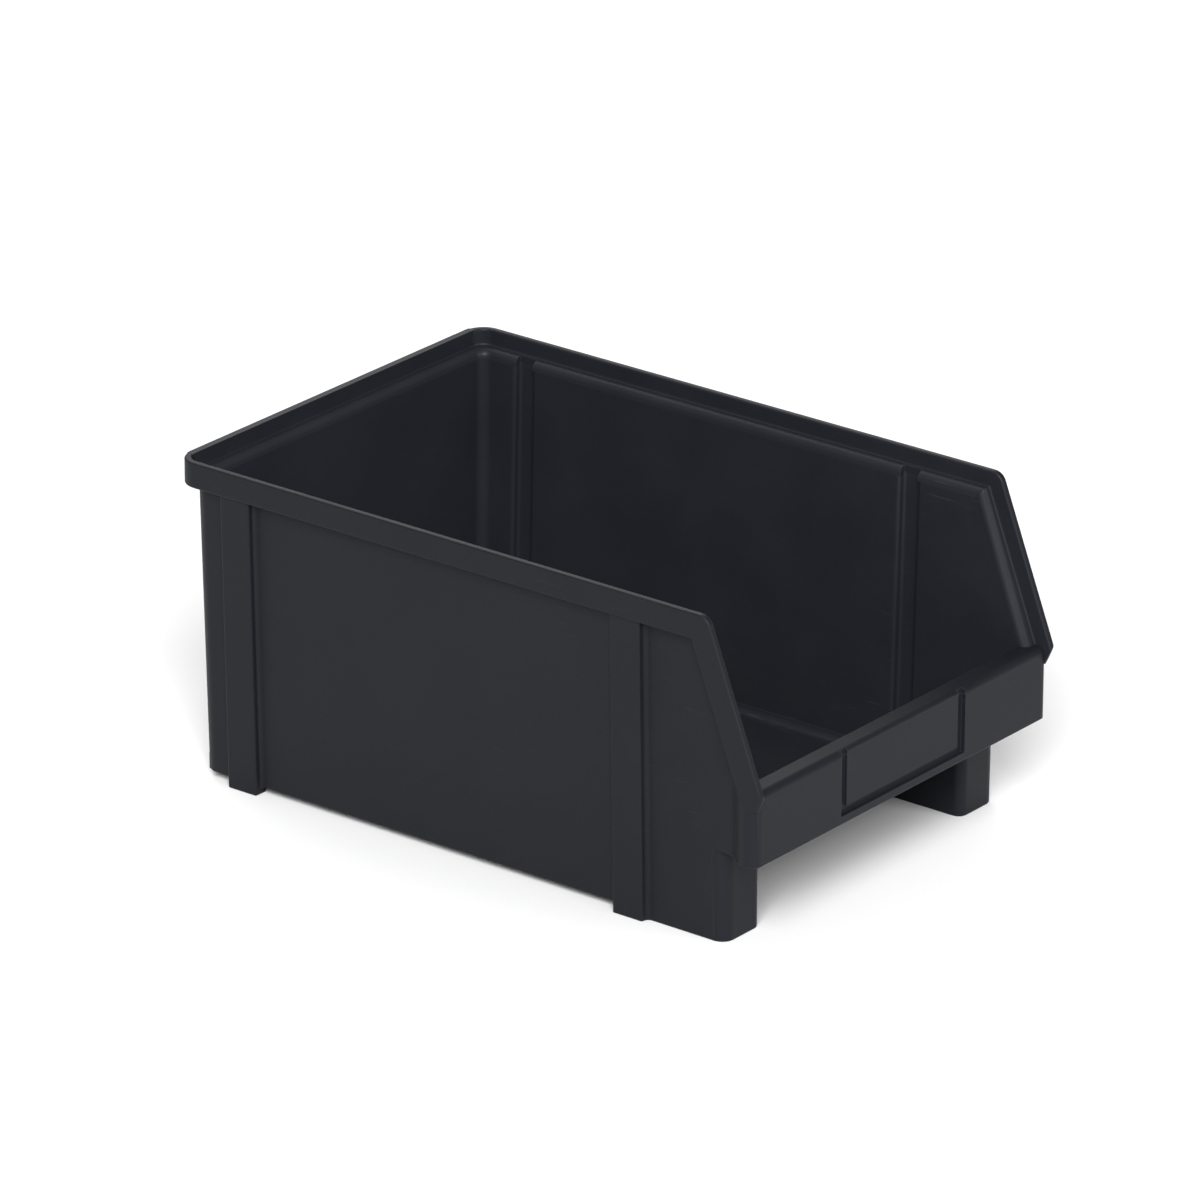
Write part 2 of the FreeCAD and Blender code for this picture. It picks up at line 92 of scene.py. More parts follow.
@dataclass(frozen=True)
class BinSizes:
    """Driving sizes in millimetres: the first block is read from the frame, the rest are fixed values."""

    rear_y: float
    rim_half: float
    height: float
    skirt_z: float
    floor_lift: float
    floor_top: float
    ramp_start: float
    mouth_z: float
    lip_bottom: float
    lip_face: float
    lip_back: float
    pilaster_width: float
    pilaster_depth: float
    rear_pilaster: float
    front_pilaster: float
    leg_back: float
    leg_front: float
    leg_inner: float

    rim_length: float = 144.2
    wall: float = 1.6
    floor: float = 1.8
    side_draft: float = 1.4
    rear_draft: float = 0.5
    wall_corner: float = 4.0
    rim_overhang: float = 2.55
    rim_wall: float = 1.6
    rim_corner: float = 5.1
    ledge_drop: float = 3.8
    ledge_radius: float = 1.8
    slope_top_radius: float = 3.0
    nose_depth: float = 4.0
    nose_overshoot: float = 0.1
    lip_wall: float = 1.8
    lip_corner: float = 2.5
    lip_top_radius: float = 1.6
    lip_flare: float = 7.5
    leg_wall: float = 1.8
    leg_corner: float = 2.2
    leg_round: float = 3.0

    @classmethod
    def from_frame(cls) -> "BinSizes":
        """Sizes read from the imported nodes."""
        rim_low, rim_high = node_box("rear_rim")
        floor_low, floor_high = node_box("floor_pan")
        ramp_low, ramp_high = node_box("front_ramp")
        lip_low, lip_high = node_box("front_lip")
        holder_low, _ = node_box("label_holder")
        rear_low, rear_high = node_box("right_rear_pilaster")
        front_low, front_high = node_box("right_front_pilaster")
        leg_low, leg_high = node_box("right_front_leg")
        rear_y = float(rim_high[1])
        return cls(
            rear_y=rear_y, rim_half=float(rim_high[0]), height=float(rim_high[2]), skirt_z=float(rim_low[2]),
            floor_lift=float(floor_low[2]), floor_top=float(floor_high[2]),
            ramp_start=rear_y - float(ramp_high[1]), mouth_z=float(lip_high[2]), lip_bottom=float(lip_low[2]),
            lip_face=rear_y - float(holder_low[1]), lip_back=rear_y - float(ramp_low[1]),
            pilaster_width=float(rear_high[1] - rear_low[1]),
            pilaster_depth=float(rear_high[0] - (rim_high[0] - cls.rim_overhang)),
            rear_pilaster=rear_y - float(rear_high[1] + rear_low[1]) / 2,
            front_pilaster=rear_y - float(front_high[1] + front_low[1]) / 2,
            leg_back=rear_y - float(leg_high[1]), leg_front=rear_y - float(leg_low[1]),
            leg_inner=float(leg_low[0]))

    @property
    def slope_angle(self) -> float:
        """Angle of the sloping front edge from the vertical."""
        return math.atan2(2 * self.rear_y - self.rim_length, self.height - self.mouth_z)

    @property
    def skirt_drop(self) -> float:
        """Height of the rim band."""
        return self.height - self.skirt_z

    @property
    def slope_start(self) -> float:
        """Back distance where the wall's top edge turns down under the sloping rim band."""
        return self.slope_distance(self.skirt_z, self.skirt_drop)

    @property
    def upstand_inside(self) -> float:
        """Half width inside the rim's upstand."""
        return self.rim_half - self.rim_wall

    @property
    def nose_under(self) -> float:
        """Height of the nose's underside."""
        return self.mouth_z - self.nose_depth

    @property
    def lip_hidden(self) -> float:
        """Back distance of the lip's hidden inside face."""
        return self.lip_face - self.lip_wall

    @property
    def slab_half(self) -> float:
        """Half width of a pilaster."""
        return self.pilaster_width / 2

    @property
    def groove_half(self) -> float:
        """Half width of the channel inside a pilaster."""
        return self.slab_half - self.wall

    @property
    def leg_turn(self) -> float:
        """Back distance where the wall's foot ends and the leg's rounded outer corner begins."""
        return self.leg_front - self.leg_round

    @property
    def ramp_rise(self) -> float:
        """Height gained by the ramp per millimetre forwards."""
        return (self.mouth_z - self.floor_top) / (self.lip_back - self.ramp_start)

    @property
    def floor_rear(self) -> float:
        """Back distance where the floor meets the rear wall's inside."""
        return float(self.rear_distance(np.array(self.floor_top), -self.wall))

    @property
    def floor_on_ramp(self) -> float:
        """Upright thickness of the sloping ramp."""
        return self.floor * math.hypot(1, self.ramp_rise)

    def half_width(self, z: Array, offset: Array | float = 0.0) -> Array:
        """Half width over the drafted side walls: it shrinks downwards by the draft's tangent."""
        top = self.rim_half - self.rim_overhang
        return top - (self.skirt_z - z) * math.tan(math.radians(self.side_draft)) + offset

    def flared_half(self, s: Array, z: Array) -> Array:
        """Half width of the outside near the lip: the drafted wall swings out to the rim's width.

        The share taken from the wall falls from one to nothing along half a cosine wave over the flare.
        """
        start = self.lip_face - self.lip_corner - self.lip_flare
        way = np.clip((s - start) / self.lip_flare, 0, 1)
        share = 0.5 + 0.5 * np.cos(math.pi * way)
        return self.rim_half + (self.half_width(z) - self.rim_half) * share

    def rear_distance(self, z: Array, offset: Array | float = 0.0) -> Array:
        """Back distance of the drafted rear wall: it grows downwards by the draft's tangent."""
        return self.rim_overhang + (self.skirt_z - z) * math.tan(math.radians(self.rear_draft)) - offset

    def slope_distance(self, z: Array | float, inset: Array | float) -> Array:
        """Back distance, at height z, of the sloping edge's line moved into the bin by inset."""
        lean = (z - self.mouth_z) * math.tan(self.slope_angle)
        return 2 * self.rear_y - lean - inset / math.cos(self.slope_angle)

    def band_height(self, s: Array) -> Array:
        """Height of the line under the sloping rim band at back distance s."""
        foot = self.slope_distance(self.mouth_z, self.skirt_drop)
        return self.mouth_z + (foot - s) / math.tan(self.slope_angle)

    def ramp_under(self, s: Array | float) -> Array:
        """Height of the ramp's underside: the top plane lowered by the floor's upright thickness."""
        return self.floor_top + self.ramp_rise * (s - self.ramp_start) - self.floor_on_ramp

    def near_pilaster(self, s: Array, half: float) -> Array:
        """True where a back distance lies within half of a pilaster's centre."""
        return (np.abs(s - self.rear_pilaster) < half) | (np.abs(s - self.front_pilaster) < half)

    def at_pilaster(self, s: Array, half: float) -> Array:
        """True where a back distance lies on an edge that is half from a pilaster's centre."""
        return self.near_pilaster(s, half + NEAR) & ~self.near_pilaster(s, half - NEAR)

    def pilaster_breaks(self, half: float) -> Array:
        """Back distances of both edges of both pilasters, half from their centres."""
        centres = np.array([self.rear_pilaster, self.front_pilaster])
        return np.sort(np.concatenate([centres - half, centres + half]))


# ---------------------------------------------------------------- mesh helpers
def rounded_outline(points: list[Pair], radii: list[float], steps: int) -> Array:
    """Open outline with its inner corners turned into arcs.

    An arc of radius r in a corner of opening angle t starts r / tan(t / 2) before the corner; its points
    turn evenly from the one tangent direction to the other about the arc's centre.

    Args:
        points: corners in order.
        radii: one radius per corner; zero keeps the corner sharp, and the two ends are always kept.
        steps: straight pieces per arc.

    Returns:
        An (n, 2) array.
    """
    corners = np.array(points, float)
    pieces = [corners[:1]]
    for before, corner, after, radius in zip(corners, corners[1:], corners[2:], radii[1:-1]):
        if radius <= 0:
            pieces.append(corner[None])
            continue
        back = (before - corner) / np.linalg.norm(before - corner)
        ahead = (after - corner) / np.linalg.norm(after - corner)
        opening = math.acos(float(np.clip(back @ ahead, -1, 1)))
        middle = (back + ahead) / np.linalg.norm(back + ahead)
        centre = corner + middle * radius / math.sin(opening / 2)
        first = corner + back * radius / math.tan(opening / 2) - centre
        last = corner + ahead * radius / math.tan(opening / 2) - centre
        turn = math.pi - opening
        share = np.linspace(0, 1, steps + 1)[:, None]
        arc = np.sin((1 - share) * turn) * first + np.sin(share * turn) * last
        pieces.append(centre + arc / math.sin(turn))
    pieces.append(corners[-1:])
    return np.concatenate(pieces)


def twice(breaks: Array) -> tuple[Array, Array]:
    """Each break twice, as a place and as a value a hair behind or ahead of it for reading states."""
    places = np.repeat(breaks, 2)
    return places, places + np.tile([-HAIR, HAIR], len(breaks))


def on_side(rings: Array, side: Side) -> Array:
    """Rings of the right side, carried to the given side."""
    return rings * np.array([side.value, 1.0, 1.0])


def both_sides(right_half: Array) -> Array:
    """Rings of the right half, from the middle outwards, joined to their mirror image on the left."""
    return np.concatenate([on_side(right_half[::-1], Side.LEFT), right_half])


def read_values(items: bpy.types.bpy_prop_collection, attribute: str, width: int, kind: type) -> Array:
    """One attribute of every vertex, edge, face or loop, as a (count, width) array."""
    values = np.empty(len(items) * width, kind)
    items.foreach_get(attribute, values)
    return values.reshape(-1, width)


def add_object(name: str, data: bpy.types.ID) -> Piece:
    """New object in the scene, at the origin."""
    added = bpy.data.objects.new(name, data)
    bpy.context.scene.collection.objects.link(added)
    return added


@dataclass
class RingSolid:
    """A closed skin: closed rings of equal length joined by quads, with a flat cap at each end.

    The rings are a (rings, points, 3) array of (x, s, z) places.
    """

    name: str
    rings: Array
    sizes: BinSizes
    widest_rounding: float = 1.2
    rounding_segments: int = 4
    crease_angle: float = 24.0
    doubled_within: float = 0.002
    degenerate_within: float = 0.001
    flat_face_weight: int = 100

    def build(self, rounding: RoundingRule, inside: Array | None = None) -> Piece:
        """Makes the object.

        Args:
            rounding: gives each crease its rounding in millimetres from its middle's |x|, s and z.
            inside: one flag per ring point; a quad that starts at a flagged point takes the second finish.

        Returns:
            The object, at the origin, with modifiers that round its creases and keep flat faces flat.
        """
        count, points = self.rings.shape[:2]
        ring_of, point_of = np.meshgrid(np.arange(count - 1), np.arange(points), indexing="ij")
        here = (ring_of * points + point_of).ravel()
        beside = (ring_of * points + (point_of + 1) % points).ravel()
        quads = np.stack([here, beside, beside + points, here + points], axis=1)
        caps = [list(range(points)), list(range((count - 1) * points, count * points))]
        places = self.rings.reshape(-1, 3) * MM
        places = np.stack([places[:, 0], self.sizes.rear_y * MM - places[:, 1], places[:, 2]], axis=1)
        mesh = bpy.data.meshes.new(self.name)
        mesh.from_pydata(places, [], quads.tolist() + caps)
        if inside is not None:
            flags = np.concatenate([inside[point_of.ravel()].astype(np.int32), np.zeros(2, np.int32)])
            mesh.polygons.foreach_set("material_index", flags)
        self._close(mesh)
        self._mark_creases(mesh, rounding)
        piece = add_object(self.name, mesh)
        bevel = piece.modifiers.new("moulded_radii", "BEVEL")
        bevel.limit_method = "WEIGHT"
        bevel.width = self.widest_rounding * MM
        bevel.segments = self.rounding_segments
        bevel.use_clamp_overlap = False
        bevel.miter_outer = "MITER_ARC"
        flats = piece.modifiers.new("flat_faces_stay_flat", "WEIGHTED_NORMAL")
        flats.mode = "FACE_AREA"
        flats.weight = self.flat_face_weight
        flats.keep_sharp = True
        return piece

    def _close(self, mesh: bpy.types.Mesh) -> None:
        """Merges doubled points, drops empty faces, cuts up the caps and turns every face outwards."""
        work = bmesh.new()
        work.from_mesh(mesh)
        bmesh.ops.remove_doubles(work, verts=work.verts, dist=self.doubled_within * MM)
        bmesh.ops.dissolve_degenerate(work, edges=work.edges, dist=self.degenerate_within * MM)
        caps = [face for face in work.faces if len(face.verts) > 4]
        bmesh.ops.triangulate(work, faces=caps, quad_method="BEAUTY", ngon_method="BEAUTY")
        bmesh.ops.recalc_face_normals(work, faces=work.faces)
        work.to_mesh(mesh)
        work.free()
        mesh.shade_smooth()

    def _mark_creases(self, mesh: bpy.types.Mesh, rounding: RoundingRule) -> None:
        """Stores each crease's rounding as its weight; a crease is an edge sharper than the angle."""
        edge_of = read_values(mesh.loops, "edge_index", 1, np.int32).ravel()
        starts = read_values(mesh.polygons, "loop_start", 1, np.int32).ravel()
        face_of = np.searchsorted(starts, np.arange(len(edge_of)), side="right") - 1
        normals = read_values(mesh.polygons, "normal", 3, np.float32)
        order = np.argsort(edge_of, kind="stable")
        edges_sorted = edge_of[order]
        first = np.flatnonzero(edges_sorted[:-1] == edges_sorted[1:])
        facing = (normals[face_of[order[first]]] * normals[face_of[order[first + 1]]]).sum(axis=1)
        creased = np.zeros(len(mesh.edges), bool)
        creased[edges_sorted[first]] = facing < math.cos(math.radians(self.crease_angle))
        ends = read_values(mesh.edges, "vertices", 2, np.int32)
        middles = read_values(mesh.vertices, "co", 3, np.float32)[ends].mean(axis=1) / MM
        radii = rounding(np.abs(middles[:, 0]), self.sizes.rear_y - middles[:, 1], middles[:, 2])
        weights = np.where(creased, radii / self.widest_rounding, 0.0).astype(np.float32)
        layer = mesh.attributes.new("bevel_weight_edge", "FLOAT", "EDGE")
        layer.data.foreach_set("value", weights)
        hard = mesh.attributes.get("sharp_edge") or mesh.attributes.new("sharp_edge", "BOOLEAN", "EDGE")
        hard.data.foreach_set("value", creased & (weights <= 0))


# ---------------------------------------------------------------- nodes
def linear_colour(hex_colour: str) -> tuple[float, float, float, float]:
    """Linear RGBA of an sRGB hex colour, by the standard's two-part curve."""
    channels = [int(hex_colour[i:i + 2], 16) / 255 for i in (1, 3, 5)]
    linear = [c / 12.92 if c <= 0.04045 else ((c + 0.055) / 1.055) ** 2.4 for c in channels]
    return (*linear, 1.0)


def empty_tree(owner: bpy.types.Material | bpy.types.World) -> Tree:
    """Node tree of a material or world, with nothing in it."""
    owner.use_nodes = True
    owner.node_tree.nodes.clear()
    return owner.node_tree


def add_node(tree: Tree, kind: str, settings: dict[str, Any] | None = None,
             links: dict[str | int, Any] | None = None) -> bpy.types.Node:
    """Adds one node.

    Args:
        tree: node tree to add to.
        kind: type name of the node.
        settings: node properties by name.
        links: input by name or number, as an output socket to link or a plain value to set.

    Returns:
        The node.
    """
    node = tree.nodes.new(kind)
    for key, value in (settings or {}).items():
        setattr(node, key, value)
    for key, value in (links or {}).items():
        if isinstance(value, bpy.types.NodeSocket):
            tree.links.new(value, node.inputs[key])
        else:
            node.inputs[key].default_value = value
    return node


def noise(tree: Tree, place: Socket, size_mm: float, detail: float = 2.0, roughness: float = 0.5) -> Socket:
    """Noise whose features are about size_mm across."""
    links = {"Vector": place, "Scale": 1 / (size_mm * MM), "Detail": detail, "Roughness": roughness}
    return add_node(tree, "ShaderNodeTexNoise", None, links).outputs["Fac"]


def stretched(tree: Tree, value: Socket, reach: Pair) -> Socket:
    """Value stretched so that it runs from nothing to one over the reach, and is held beyond it."""
    links = {"Value": value, "From Min": reach[0], "From Max": reach[1]}
    return add_node(tree, "ShaderNodeMapRange", None, links).outputs["Result"]


def calculated(tree: Tree, operation: str, *values: Socket | float) -> Socket:
    """Result of one arithmetic step on up to three values."""
    node = add_node(tree, "ShaderNodeMath", {"operation": operation}, dict(enumerate(values)))
    return node.outputs["Value"]


def blended(tree: Tree, share: Socket, first: Any, second: Any) -> Socket:
    """Colour that goes from the first to the second with the share."""
    return add_node(tree, "ShaderNodeMix", {"data_type": "RGBA"}, {0: share, 6: first, 7: second}).outputs[2]


def embossed(tree: Tree, height: Socket, depth_mm: float, strength: float = 1.0, **under: Socket) -> Socket:
    """Normal tilted by a relief, over another one's Normal or over the plain surface."""
    links = {"Height": height, "Strength": strength, "Distance": depth_mm * MM, **under}
    return add_node(tree, "ShaderNodeBump", None, links).outputs["Normal"]


def add_surface(tree: Tree, inputs: dict[str, Any]) -> None:
    """Principled surface with the given inputs."""
    shader = add_node(tree, "ShaderNodeBsdfPrincipled", None, inputs)
    add_node(tree, "ShaderNodeOutputMaterial", None, {"Surface": shader.outputs["BSDF"]})


# ---------------------------------------------------------------- finishes
class Zone(Enum):
    """The two sides of the mould, which leave two surfaces."""

    CAVITY = "outside, spark-eroded"
    CORE = "inside, draw-polished"


@dataclass(frozen=True)
class MouldedPolypropylene:
    """Carbon-black polypropylene as it leaves the mould: nearly black, with a soft waxy sheen.

    The carbon black gives the faint bluish body colour. The mould's skin gives the grain, cooling gives
    the slow waviness, and handling gives scuffs and slightly polished, less rough edges. The lighter
    colour along rounded edges is a painted highlight.
    """

    name: str
    body: str
    bloom: str
    # edge: the lighter colour that rounded edges are lifted towards, a painted highlight
    edge: str
    roughness: float
    roughness_spread: float
    grain_mm: float
    grain_height_mm: float
    wave_mm: float = 34.0
    wave_height_mm: float = 0.10
    bloom_mm: float = 22.0
    bloom_reach: Pair = (0.32, 0.68)
    scuff_mm: float = 0.5
    scuff_stretch: float = 0.06
    scuff_turn: tuple[float, float, float] = (0.5, 0.35, 0.6)
    scuff_reach: Pair = (0.66, 0.78)
    worn_patch_mm: float = 31.0
    worn_reach: Pair = (0.5, 0.7)
    edge_radius_mm: float = 0.45
    edge_reach: Pair = (1.0, 0.86)
    # share of the lift towards the edge colour: painted highlight on rounded edges, real rub marks on scuffs
    scuff_and_edge_highlight_share: float = 0.6
    scuff_roughness: float = 0.12
    edge_roughness: float = -0.06
    ior: float = 1.49
    specular: float = 0.15

    def build(self) -> bpy.types.Material:
        """Makes the material."""
        material = bpy.data.materials.new(self.name)
        tree = empty_tree(material)
        place = add_node(tree, "ShaderNodeTexCoord").outputs["Object"]
        bloom = stretched(tree, noise(tree, place, self.bloom_mm, 3.0, 0.55), self.bloom_reach)
        scuff = self._scuffs(tree, place)
        edge = self._edges(tree)
        add_surface(tree, {
            "Base Color": self._colour(tree, bloom, scuff, edge),
            "Roughness": self._roughness(tree, bloom, scuff, edge),
            "IOR": self.ior, "Specular IOR Level": self.specular, "Normal": self._relief(tree, place)})
        return material

    def _scuffs(self, tree: Tree, place: Socket) -> Socket:
        """Sparse fine rub marks: noise stretched along one slanting direction, with only its crests kept."""
        turned = add_node(tree, "ShaderNodeMapping", None, {
            "Vector": place, "Rotation": self.scuff_turn, "Scale": (1.0, self.scuff_stretch, 1.0)})
        crests = stretched(tree, noise(tree, turned.outputs["Vector"], self.scuff_mm), self.scuff_reach)
        worn = stretched(tree, noise(tree, place, self.worn_patch_mm, 1.0), self.worn_reach)
        return calculated(tree, "MULTIPLY", crests, worn)

    def _edges(self, tree: Tree) -> Socket:
        """One along rounded edges, where the painted edge highlight and the lower edge roughness go: how far
        the normal of a rounded copy leans from the surface's own.
        """
        rounded = add_node(tree, "ShaderNodeBevel", {"samples": 6}, {"Radius": self.edge_radius_mm * MM})
        own = add_node(tree, "ShaderNodeNewGeometry").outputs["Normal"]
        dot = add_node(tree, "ShaderNodeVectorMath", {"operation": "DOT_PRODUCT"}, {
            0: rounded.outputs["Normal"], 1: own})
        return stretched(tree, dot.outputs["Value"], self.edge_reach)

    def _colour(self, tree: Tree, bloom: Socket, scuff: Socket, edge: Socket) -> Socket:
        """Body colour, clouded by the bloom, lifted on scuffs, and lifted on rounded edges as a painted
        highlight.
        """
        clouded = blended(tree, bloom, linear_colour(self.body), linear_colour(self.bloom))
        # Painted highlight on rounded edges, together with the real lightening of scuff marks
        scuff_and_edge_highlight = calculated(tree, "MULTIPLY", calculated(tree, "MAXIMUM", edge, scuff), self.scuff_and_edge_highlight_share)
        return blended(tree, scuff_and_edge_highlight, clouded, linear_colour(self.edge))

    def _roughness(self, tree: Tree, bloom: Socket, scuff: Socket, edge: Socket) -> Socket:
        """Roughness: even, a little higher in the bloom and on scuffs, a little lower on handled edges."""
        base = add_node(tree, "ShaderNodeMapRange", None, {
            "Value": bloom, "To Min": self.roughness, "To Max": self.roughness + self.roughness_spread})
        scuffed = calculated(tree, "MULTIPLY_ADD", scuff, self.scuff_roughness, base.outputs["Result"])
        return calculated(tree, "MULTIPLY_ADD", edge, self.edge_roughness, scuffed)

    def _relief(self, tree: Tree, place: Socket) -> Socket:
        """Surface relief: slow waviness of the cooled wall under the grain of the mould's skin."""
        slow = embossed(tree, noise(tree, place, self.wave_mm, 1.0), self.wave_height_mm)
        grain = noise(tree, place, self.grain_mm, 2.0, 0.6)
        return embossed(tree, grain, self.grain_height_mm, Normal=slow)


@dataclass(frozen=True)
class StudioPaper:
    """Seamless paper sweep: matt, white, with the faintest tooth."""

    name: str = "seamless_paper_sweep"
    colour: str = "#E6E6E6"
    roughness: float = 0.9
    tooth_mm: float = 1.1
    tooth_height_mm: float = 0.02
    tooth_strength: float = 0.2

    def build(self) -> bpy.types.Material:
        """Makes the material."""
        material = bpy.data.materials.new(self.name)
        tree = empty_tree(material)
        tooth = noise(tree, add_node(tree, "ShaderNodeTexCoord").outputs["Object"], self.tooth_mm)
        add_surface(tree, {
            "Base Color": linear_colour(self.colour), "Roughness": self.roughness,
            "Normal": embossed(tree, tooth, self.tooth_height_mm, self.tooth_strength)})
        return material


class Palette:
    """The bin's two finishes, one for each side of the mould; the inside one is also painted lighter to lift
    its shade.
    """

    def __init__(self) -> None:
        """Builds both materials."""
        self.by_zone = {
            Zone.CAVITY: MouldedPolypropylene(
                name="spark_eroded_black_polypropylene", body="#14151A", bloom="#17181D", edge="#2C2D33",
                roughness=0.46, roughness_spread=0.06, grain_mm=0.55, grain_height_mm=0.012).build(),
            # Inside: the lighter body, bloom and edge colours are painted light that lifts the shaded inside;
            # the lower roughness and finer grain are the real polish
            Zone.CORE: MouldedPolypropylene(
                name="core_polished_shade_lifted_black_polypropylene", body="#1C1D22", bloom="#1F2025", edge="#303136",
                roughness=0.40, roughness_spread=0.07, grain_mm=0.8, grain_height_mm=0.006).build(),
        }

    def dress(self, piece: Piece) -> None:
        """Gives a piece both finishes: slot 0 outside, slot 1 inside."""
        for zone in (Zone.CAVITY, Zone.CORE):
            piece.data.materials.append(self.by_zone[zone])


# ---------------------------------------------------------------- sub-assemblies
@dataclass
class Moulding:
    """A region of the moulding, drawn as closed skins that share one rule for their rounding."""

    sizes: BinSizes

    def rounding(self, x: Array, s: Array, z: Array) -> Array:
        """Rounding in millimetres of creases with their middles at |x|, s and z; each region has its own."""
        raise NotImplementedError

    def skin(self, name: str, rings: Array, palette: Palette,
             inside: Array | None = None) -> Piece:
        """Makes and dresses one closed skin.

        Args:
            name: name of the piece.
            rings: (rings, points, 3) array of (x, s, z) places.
            palette: the bin's finishes.
            inside: flags of the ring points that carry the inside finish.

        Returns:
            The object.
        """
        piece = RingSolid(name, rings, self.sizes).build(self.rounding, inside)
        palette.dress(piece)
        return piece


@dataclass
class TubWalls(Moulding):
    """Rear wall and both side walls in one drafted sheet, with hollow pilasters standing out of it."""

    corner_steps: int = 12
    corner_run_out: float = 1.2
    embed: float = 0.45
    edge_radius: float = 0.35
    pilaster_fillet: float = 1.2
    pilaster_edge: float = 0.5
    channel_radius: float = 0.8
    channel_foot: float = 2.05
    channel_least: float = 1.0
    channel_foot_zone: Pair = (4.0, 20.0)

    def rings(self) -> Array:
        """Rings round the wall's section, carried along the U of the wall seen from above.

        Each ring runs outer face low, outer face high, inner face high, down to the channel's foot, back to
        the plain inner face and down. The plan point at offset o and height z is on a rounded U:
        x = a (H - R) + R sin(t), s = D + R (1 - cos(t)), then straight forwards, where H is the drafted
        half width, D the drafted rear distance and R the corner radius grown by the offset.
        """
        size = self.sizes
        places, states = twice(np.sort(np.concatenate([
            size.pilaster_breaks(size.slab_half), size.pilaster_breaks(size.groove_half), [size.leg_turn]])))
        corner_end = size.wall_corner + size.rim_overhang + self.corner_run_out
        smooth = np.array([corner_end, size.slope_start, size.lip_back, size.lip_hidden])
        places, states = np.append(places, smooth), np.append(states, smooth)
        order = np.argsort(states)
        turn = np.linspace(0, math.pi / 2, self.corner_steps + 1)
        at_rear = np.zeros(1 + len(turn))
        along = np.append(0.0, np.ones(len(turn) + len(places)))
        angle = np.concatenate([[0.0], turn, np.full(len(places), math.pi / 2)])
        side, state = np.append(at_rear, places[order]), np.append(at_rear, states[order])
        return both_sides(self._ring_points(along, angle, side, state))

    def _ring_points(self, along: Array, angle: Array, side: Array,
                     state: Array) -> Array:
        """Ring points for stations given by share along the rear wall, corner angle and side distance."""
        size = self.sizes
        proud = size.pilaster_depth * size.near_pilaster(state, size.slab_half)
        inner = np.where(size.near_pilaster(state, size.groove_half), proud - size.wall, -size.wall)
        plain = np.full_like(state, -size.wall)
        on_foot = (proud > 0) | (state > size.leg_back)
        low = np.where(state > size.leg_turn, size.lip_bottom, np.where(on_foot, 0.0, size.floor_lift))
        under_band = np.minimum(size.skirt_z, size.band_height(side)) + self.embed
        behind_lip = np.maximum(under_band, size.mouth_z - size.lip_wall)
        high = np.where(state >= size.lip_back, behind_lip, under_band)
        sheet = size.floor_top + size.ramp_rise * np.maximum(side - size.ramp_start, 0.0)
        middle = np.minimum(np.maximum(low, sheet + self.channel_foot), high - self.channel_least)
        offsets = np.stack([proud, proud, inner, inner, plain, plain], axis=1)
        heights = np.stack([low, high, high, middle, middle, low], axis=1)
        half = size.half_width(heights, offsets)
        rear = size.rear_distance(heights, offsets)
        radius = size.wall_corner + offsets
        x = along[:, None] * (half - radius) + radius * np.sin(angle)[:, None]
        s = np.where(side[:, None] > 0, side[:, None], rear + radius * (1 - np.cos(angle))[:, None])
        return np.stack([x, s, heights], axis=2)

    def rounding(self, x: Array, s: Array, z: Array) -> Array:
        """Pilasters and channels have radii of their own, and creases that meet another piece stay sharp."""
        size = self.sizes
        foot_low, foot_high = self.channel_foot_zone
        offset = x - size.half_width(z)
        at_slab = size.at_pilaster(s, size.slab_half) & (z > foot_low)
        channel_foot = size.near_pilaster(s, size.groove_half + NEAR) & (offset < size.pilaster_depth / 2)
        radius = np.full(len(x), self.edge_radius)
        radius[at_slab & (np.abs(offset) < NEAR)] = self.pilaster_fillet
        radius[at_slab & (offset > size.pilaster_depth - NEAR)] = self.pilaster_edge
        radius[size.at_pilaster(s, size.groove_half) & (z > foot_high)] = self.channel_radius
        radius[channel_foot & (z > foot_low) & (z < foot_high)] = 0.0
        radius[(s > size.leg_turn - NEAR) & (z < size.lip_bottom - NEAR)] = 0.0
        radius[(s > size.slope_start - NEAR) & (z > size.lip_bottom + NEAR)] = 0.0
        radius[(s > size.leg_turn + NEAR) | (z > size.skirt_z + NEAR)] = 0.0
        return radius

    def build(self, palette: Palette) -> Piece:
        """Makes and dresses the walls."""
        core = np.array([False, False, True, True, True, False])
        piece = self.skin("tub_walls", self.rings(), palette, core)
        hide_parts("rear_wall", *(f"{side}_{part}" for side in ("left", "right")
                                          for part in ("wall", "rear_pilaster", "front_pilaster")))
        return piece


